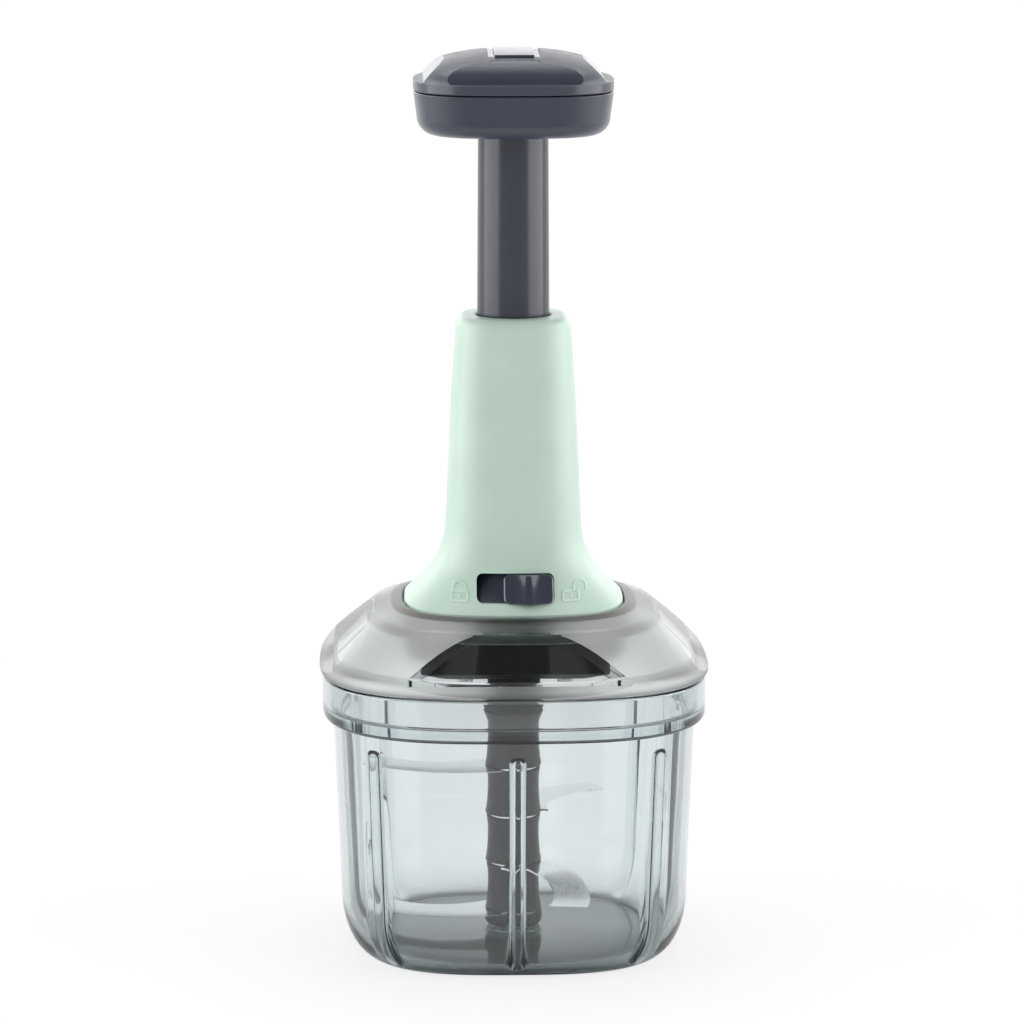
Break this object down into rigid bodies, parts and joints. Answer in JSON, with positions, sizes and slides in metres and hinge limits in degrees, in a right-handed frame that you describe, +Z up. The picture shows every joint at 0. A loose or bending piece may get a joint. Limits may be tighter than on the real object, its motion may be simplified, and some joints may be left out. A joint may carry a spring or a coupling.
{
  "type": "vegetable chopper",
  "caption": "Push-down vegetable chopper: clear ribbed bowl, frosted lid with flat facets, flared tower with lock slider, sprung plunger and twisted-rod drive for stacked sickle blades.",
  "frame": {"origin": "centre of the bowl's flat underside", "axes": "+Z up along the drive axis, front of the lock slider towards -Y"},
  "size_m": [0.13, 0.13, 0.3016],
  "materials": {
    "bowl_clear": "clear moulded plastic with a pale blue-green tint",
    "lid_frosted": "frosted translucent plastic with four polished clear facets",
    "tower_mint": "fine satin moulding",
    "handle_navy": "satin moulding",
    "tube_navy": "smooth semi-gloss",
    "knob_dark": "polished",
    "cover_black": "semi-gloss",
    "shaft_grey": "satin moulding",
    "nylon_white": "natural nylon",
    "steel_parts": "bright turned steel",
    "blade_steel": "ground and polished"
  },
  "bodies": {
    "bowl": {"bowl": "bowl_clear", "bowl_pivot_pin": "steel_parts"},
    "blade_carrier": {"pivot_bush": "nylon_white"},
    "blade_unit": {"blade_core_rod": "steel_parts", "shaft_foot": "shaft_grey", "blade_1": "blade_steel", "shaft_segment_1": "shaft_grey", "blade_2": "blade_steel", "shaft_segment_2": "shaft_grey", "blade_3": "blade_steel", "shaft_segment_3": "shaft_grey", "blade_4": "blade_steel", "shaft_top": "shaft_grey"},
    "lid": {"lid": "lid_frosted", "gear_cover": "cover_black", "thrust_washer": "nylon_white", "upper_bush": "nylon_white", "tower_housing": "tower_mint", "cover_screw_1": "steel_parts", "cover_screw_2": "steel_parts", "cover_screw_3": "steel_parts", "cover_screw_4": "steel_parts", "tower_screw_1": "steel_parts", "tower_screw_2": "steel_parts", "tower_screw_3": "steel_parts", "tower_screw_4": "steel_parts"},
    "drive_rod": {"helix_rod": "steel_parts", "clutch_driver": "nylon_white", "spring_cap": "nylon_white"},
    "output_hub": {"output_hub": "shaft_grey"},
    "plunger": {"plunger_tube": "tube_navy", "drive_nut": "nylon_white", "return_spring": "steel_parts", "handle_lower_shell": "handle_navy", "handle_top_cover": "handle_navy", "handle_top_pad": "handle_navy", "handle_screw_1": "steel_parts", "handle_screw_2": "steel_parts"},
    "lock": {"lock_slider": "knob_dark"}
  },
  "joints": [
    {"name": "lid_lift", "type": "slide", "parent": "bowl", "child": "lid", "axis": [0, 0, 1], "range_m": [0, 0.2]},
    {"name": "blade_lift", "type": "slide", "parent": "bowl", "child": "blade_carrier", "axis": [0, 0, 1], "range_m": [0, 0.1]},
    {"name": "blade_spin", "type": "hinge", "parent": "blade_carrier", "child": "blade_unit", "pos_m": [0, 0, 0.0055], "axis": [0, 0, 1], "range_deg": [0, 720]},
    {"name": "plunger_slide", "type": "slide", "parent": "lid", "child": "plunger", "axis": [0, 0, -1], "range_m": [0, 0.058], "stiffness_N_per_m": 150, "springref_m": -0.03, "deforming": ["return_spring"]},
    {"name": "rod_spin", "type": "hinge", "parent": "lid", "child": "drive_rod", "pos_m": [0, 0, 0.1066], "axis": [0, 0, 1], "range_deg": [0, 720]},
    {"name": "hub_spin", "type": "hinge", "parent": "lid", "child": "output_hub", "pos_m": [0, 0, 0.0802], "axis": [0, 0, 1], "range_deg": [0, 720]},
    {"name": "lock_slide", "type": "slide", "parent": "lid", "child": "lock", "axis": [-1, 0, 0], "range_m": [0, 0.0087]}
  ],
  "couplings": [
    {"joint": "rod_spin", "follows": "plunger_slide", "rad_per_m": 216.66},
    {"joint": "hub_spin", "follows": "plunger_slide", "rad_per_m": 216.66},
    {"joint": "blade_spin", "follows": "plunger_slide", "rad_per_m": 216.66},
    {"joint": "blade_lift", "follows": "lid_lift", "ratio": 0.5}
  ]
}
